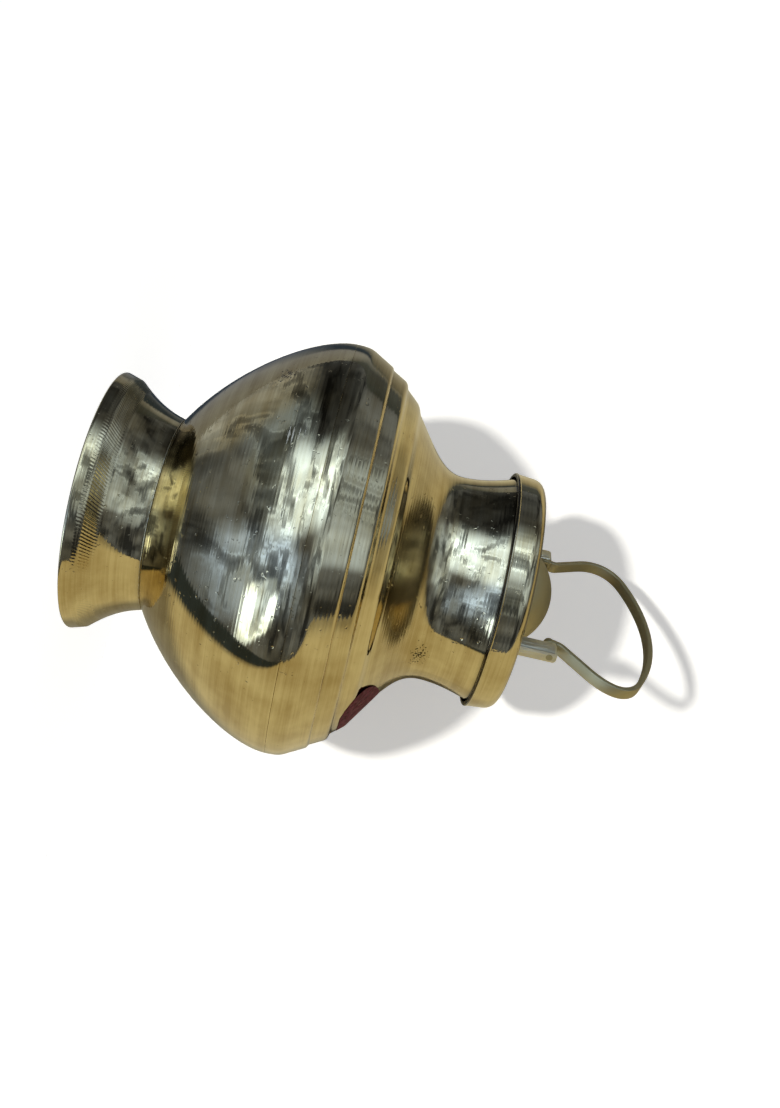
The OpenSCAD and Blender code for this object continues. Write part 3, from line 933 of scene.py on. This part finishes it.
class POT_OT_stage(bpy.types.Operator):
    """Camera, floor, sheet behind the pot and studio light"""

    bl_idname = "pot.stage"
    bl_label = "Stage"

    def execute(self, context):
        st = context.scene.pot_stage
        up = Vector((0, 0, 1))
        side = Vector((math.cos(st.azimuth), math.sin(st.azimuth), 0))
        away = Vector((-math.sin(st.azimuth), math.cos(st.azimuth), 0))
        place = up * st.height - away * st.distance
        near = (place - side * st.aim[0] - up * st.aim[1]).normalized()
        right = up * math.cos(st.roll) - side * math.sin(st.roll)
        right = (right - near * right.dot(near)).normalized()
        down = right.cross(near)
        self.camera(context, st, place, right, down, near)

        self.paper(context, "floor", Vector(), up, self.pale(st, "pale_floor", st.floor_glow), False)
        for name, tilt, turn, material, mirrored in (
                ("sheet", st.rest_tilt, st.rest_turn, self.pale(st, "pale_sheet", st.sheet_glow), False),
                ("card", st.card_tilt, st.card_turn, self.card(st, right, down), True)):
            under = up * math.sin(tilt) + math.cos(tilt) * (away * math.cos(turn) + side * math.sin(turn))
            self.paper(context, name, under * self.reach(context, tilt), -under, material, mirrored)
        self.lamp(context, st, near - right * st.lamp_left - down * st.lamp_up)
        self.room(context, st, right, down, near)
        return {"FINISHED"}

    def camera(self, context, st, place, right, down, near):
        """Camera with the picture turned as the pot lies in it."""
        data = bpy.data.cameras.new("camera")
        data.sensor_width = 36
        data.lens = st.focal
        data.clip_start = 0.01
        data.clip_end = 20
        camera = bpy.data.objects.new("camera", data)
        turn = Matrix((right, -down, near)).transposed().to_4x4()
        camera.matrix_world = Matrix.Translation(place) @ turn
        context.scene.collection.objects.link(camera)
        context.scene.camera = camera

    def reach(self, context, tilt):
        """Distance from the foot's middle to a sheet that just touches the pot."""
        s = context.scene.pot_sizes
        plan = Plan(s)
        corners = [plan.tier_edge(s, foot, i) for i, foot in enumerate(plan.tier_feet(s)[:3])]
        corners += [plan.belly, Vector((plan.lid_r, plan.lid_z)),
                    Vector((plan.lid_r - s.skirt_lean, plan.lid_top))]
        clear = 0.8 * MM
        return max(p.x * math.cos(tilt) + p.y * math.sin(tilt) for p in corners) + clear

    def paper(self, context, name, middle, normal, material, mirrored):
        """Large flat sheet, seen only by the metal if it is mirrored, and else only by the camera."""
        bm = bmesh.new()
        turn = normal.to_track_quat("Z", "Y").to_matrix().to_4x4()
        bmesh.ops.create_grid(bm, x_segments=1, y_segments=1, size=2,
                              matrix=Matrix.Translation(middle) @ turn)
        mesh = bpy.data.meshes.new(name)
        bm.to_mesh(mesh)
        bm.free()
        mesh.materials.append(material)
        sheet = bpy.data.objects.new(name, mesh)
        context.scene.collection.objects.link(sheet)
        sheet.visible_glossy = mirrored
        sheet.visible_camera = not mirrored
        sheet.visible_shadow = False
        sheet.visible_diffuse = False

    def pale(self, st, name, glow):
        """Pale matte paper that ends in white for the camera."""
        material, tree = new_material(name)
        matte = add(tree, "BsdfDiffuse", {"Color": (*st.paper, 1)})
        lift = add(tree, "Emission", {"Strength": glow})
        self.one_sided(tree, add(tree, "AddShader", {0: matte, 1: lift}))
        return material

    def one_sided(self, tree, front):
        """Ends a material so that its sheet can be seen through from behind."""
        behind = add(tree, "NewGeometry").outputs["Backfacing"]
        both = add(tree, "MixShader", {0: behind, 1: front, 2: add(tree, "BsdfTransparent")})
        add(tree, "OutputMaterial", {"Surface": both})

    def card(self, st, right, down):
        """Matte card for the metal to mirror: warm below and beside the pot, with painted shade over the pot
        and painted shadows near it, then grey.
        """
        material, tree = new_material("studio_card")
        place = add(tree, "TexCoord").outputs["Object"]
        x, y = [add(tree, "VectorMath", {0: place, 1: axis}, operation="DOT_PRODUCT").outputs["Value"]
                for axis in (right, down)]
        slanted = add(tree, "Math", {0: x, 1: 0.6, 2: y}, operation="MULTIPLY_ADD")
        # ramps: along what, from and to where in metres right or down, and the strength at the end
        part = {}
        for name, value, start, end, most in (
                # the first four ramps make the painted shade along the pot's upper side and to its right
                ("shade_strip", y, -0.10, -0.075, 1.0),
                ("aside", x, -0.02, 0.05, 1.0),
                ("not_high", y, -0.22, -0.18, 1.0),
                ("far", x, 0.12, 0.25, 0.8),
                # below and clear keep the warm side at 0.45 near the pot, a painted shadow of the pot, and
                # full past 84 mm down
                ("below", y, -0.005, 0.025, 0.45),
                ("clear", y, 0.070, 0.084, 0.55),
                ("not_left", x, -0.34, -0.24, 1.0),
                ("wedge", slanted, -0.09, 0.03, 1.0),
                ("past", x, 0.04, 0.08, 0.9),
                ("distant", x, 0.3, 0.7, 0.45)):
            part[name] = add(tree, "MapRange", {"Value": value, "From Min": start, "From Max": end,
                                                "To Max": most})
        # the ramps put together, up to how much painted shade and how warm each place is
        for name, first, second, operation in (
                ("to_the_side", "aside", "not_high", "MULTIPLY"),
                ("beyond", "to_the_side", "far", "MAXIMUM"),
                ("painted_shade", "shade_strip", "beyond", "MAXIMUM"),
                ("lower", "below", "clear", "ADD"),
                ("under", "lower", "not_left", "MULTIPLY"),
                ("right_side", "wedge", "past", "MULTIPLY"),
                ("warm", "under", "right_side", "MAXIMUM")):
            part[name] = add(tree, "Math", {0: part[first], 1: part[second]}, operation=operation)
        # one darker elliptical patch beside the pot, painted as the shadow of the lid and bail; its middle
        # and the inverse of its half sizes
        painted_shadow_middle = (0.19, 0.02, 0)
        painted_shadow_scale = (13, 18, 0)
        offset = add(tree, "CombineXYZ", {"X": x, "Y": y})
        offset = add(tree, "VectorMath", {0: offset, 1: painted_shadow_middle}, operation="SUBTRACT")
        offset = add(tree, "VectorMath", {0: offset, 1: painted_shadow_scale}, operation="MULTIPLY")
        away = add(tree, "VectorMath", {0: offset}, operation="LENGTH").outputs["Value"]
        painted_shadow = add(tree, "MapRange", {"Value": away, "From Min": 0.6, "From Max": 1.2,
                                      "To Min": 0.75, "To Max": 0.0})
        # the painted shadow, and the card darker far to the right
        painted_shadow_and_far_fade = add(tree, "Math", {0: painted_shadow, 1: part["distant"]}, operation="MAXIMUM")
        tint = (*st.cool, 1)
        for amount, hue in ((part["painted_shade"], st.painted_shade), (part["warm"], st.warm), (painted_shadow_and_far_fade, st.painted_shade)):
            tint = add(tree, "MixRGB", {"Fac": amount, "Color1": tint, "Color2": (*hue, 1)})
        self.one_sided(tree, add(tree, "BsdfDiffuse", {"Color": tint}))
        return material

    def lamp(self, context, st, direction):
        """Soft lamp from the camera's side; the metal mirrors the room and not the lamp."""
        data = bpy.data.lights.new("soft_lamp", "SUN")
        data.energy = st.lamp
        data.angle = st.lamp_spread
        data.color = (1, 0.98, 0.93)
        lamp = bpy.data.objects.new("soft_lamp", data)
        lamp.rotation_euler = direction.to_track_quat("Z", "Y").to_euler()
        lamp.visible_glossy = False
        context.scene.collection.objects.link(lamp)

    def room(self, context, st, right, down, near):
        """Dim room with soft panels of daylight on the camera's side; white where the camera sees it."""
        world = bpy.data.worlds.new("room")
        context.scene.world = world
        world.use_nodes = True
        tree = world.node_tree
        tree.nodes.clear()
        place = add(tree, "TexCoord").outputs["Generated"]
        dots = [add(tree, "VectorMath", {0: place, 1: axis}, operation="DOT_PRODUCT").outputs["Value"]
                for axis in (right, down, near)]
        seen = add(tree, "CombineXYZ", dict(enumerate(dots)))
        # clouds that break up the light, narrow from left to right in the picture, with thin bright lines
        streaks = add(tree, "VectorMath", {0: seen, 1: (9, 4, 4)}, operation="MULTIPLY")
        cloud = add(tree, "TexNoise", {"Vector": streaks, "Scale": 0.6, "Detail": 4.5, "Distortion": 0.6})
        soft = add(tree, "MapRange", {"Value": cloud, "From Min": 0.36, "From Max": 0.64,
                                      "To Min": 0.2, "To Max": 1.4})
        ridge = add(tree, "Math", {0: cloud, 1: 0.5}, operation="SUBTRACT")
        ridge = add(tree, "Math", {0: ridge}, operation="ABSOLUTE")
        thin = add(tree, "MapRange", {"Value": ridge, "From Max": 0.03, "To Min": 1.3, "To Max": 0.0})
        uneven = add(tree, "Math", {0: soft, 1: thin}, operation="ADD")
        # the room itself, darker towards the top of the picture
        dim = add(tree, "MapRange", {"Value": dots[1], "From Min": -0.95, "From Max": -0.6, "To Min": 0.25})
        base = add(tree, "Math", {0: soft, 1: dim}, operation="MULTIPLY")
        total = add(tree, "VectorMath", {0: base, 1: Vector(st.dusk) * st.room}, operation="MULTIPLY")
        # each panel: middle and half sizes as parts of right, down and near, colour, brightness, hardness
        panels = (((-0.10, -0.50, 0.86), (0.70, 0.38, 0.9), st.daylight, 2.2, 0.1),
                  ((-0.45, -0.85, 0.30), (0.30, 0.25, 0.5), st.daylight, 0.35, 0.1),
                  ((0.40, 0.00, 0.90), (0.32, 0.45, 0.9), st.daylight, 0.6, 0.1),
                  ((0.48, -0.50, 0.70), (0.30, 0.22, 0.6), st.daylight, 1.0, 0.2),
                  ((0.70, 0.14, 0.68), (0.20, 0.16, 0.5), st.daylight, 0.7, 0.2),
                  ((0.16, -0.57, 0.80), (0.16, 0.14, 0.5), st.daylight, 1.2, 0.2),
                  ((-0.62, 0.06, 0.72), (0.44, 0.36, 0.9), st.evening, 1.15, 0.1),
                  ((-0.25, 0.30, 0.90), (0.35, 0.30, 0.9), st.evening, 0.45, 0.1),
                  ((-0.69, 0.37, 0.59), (0.165, 0.21, 0.6), st.daylight, 4.2, 0.7),
                  ((-0.50, -0.72, -0.45), (0.35, 0.30, 0.45), st.haze, 0.3, 0.1),
                  ((0.90, -0.20, 0.38), (0.23, 0.33, 0.50), st.daylight, 0.55, 0.1))
        for middle, size, hue, strength, hardness in panels:
            offset = add(tree, "VectorMath", {0: seen, 1: middle}, operation="SUBTRACT")
            scaled = add(tree, "VectorMath", {0: offset, 1: size}, operation="DIVIDE")
            squared = add(tree, "VectorMath", {0: scaled, 1: scaled}, operation="MULTIPLY")
            far = add(tree, "VectorMath", {0: squared}, operation="LENGTH").outputs["Value"]
            panel = add(tree, "MapRange", {"Value": far, "From Min": hardness, "From Max": 1.2,
                                           "To Min": strength, "To Max": 0.0},
                        interpolation_type="SMOOTHSTEP")
            broken = add(tree, "Math", {0: panel, 1: uneven}, operation="MULTIPLY")
            total = add(tree, "VectorMath", {0: broken, 1: hue, 2: total}, operation="MULTIPLY_ADD")
        mirrored = add(tree, "Background", {"Color": total})
        light = add(tree, "LightPath").outputs
        # white for the camera, and an even low light for what isn't metal
        white = add(tree, "MapRange", {"Value": light["Is Camera Ray"], "To Min": 0.2, "To Max": 1.0})
        even = add(tree, "Background", {"Color": (1, 1, 1, 1), "Strength": white})
        mixed = add(tree, "MixShader", {0: light["Is Glossy Ray"], 1: even, 2: mirrored})
        add(tree, "OutputWorld", {"Surface": mixed})


class POT_PT_panel(bpy.types.Panel):
    """Sidebar panel of the pot"""

    bl_label = "Brass pot"
    bl_idname = "POT_PT_panel"
    bl_space_type = "VIEW_3D"
    bl_region_type = "UI"
    bl_category = "Pot"

    def draw(self, context):
        for step in STEPS:
            self.layout.operator(step.bl_idname)
        for group in (context.scene.pot_sizes, context.scene.pot_look, context.scene.pot_stage):
            box = self.layout.box()
            for name in group.__annotations__:
                box.prop(group, name)


GROUPS = (POT_PG_sizes, POT_PG_look, POT_PG_stage)
STEPS = (POT_OT_foot, POT_OT_body, POT_OT_mouth, POT_OT_lid, POT_OT_bail, POT_OT_stage)


def register():
    for item in GROUPS + STEPS + (POT_PT_panel,):
        bpy.utils.register_class(item)
    bpy.types.Scene.pot_sizes = PointerProperty(type=POT_PG_sizes)
    bpy.types.Scene.pot_look = PointerProperty(type=POT_PG_look)
    bpy.types.Scene.pot_stage = PointerProperty(type=POT_PG_stage)


def unregister():
    del bpy.types.Scene.pot_stage
    del bpy.types.Scene.pot_look
    del bpy.types.Scene.pot_sizes
    for item in reversed(GROUPS + STEPS + (POT_PT_panel,)):
        bpy.utils.unregister_class(item)


def main():
    register()
    bpy.context.scene.view_settings.view_transform = "Standard"
    bpy.ops.pot.foot()
    bpy.ops.pot.body()
    bpy.ops.pot.mouth()
    bpy.ops.pot.lid()
    bpy.ops.pot.bail()
    bpy.ops.pot.stage()


if __name__ == "__main__":
    main()
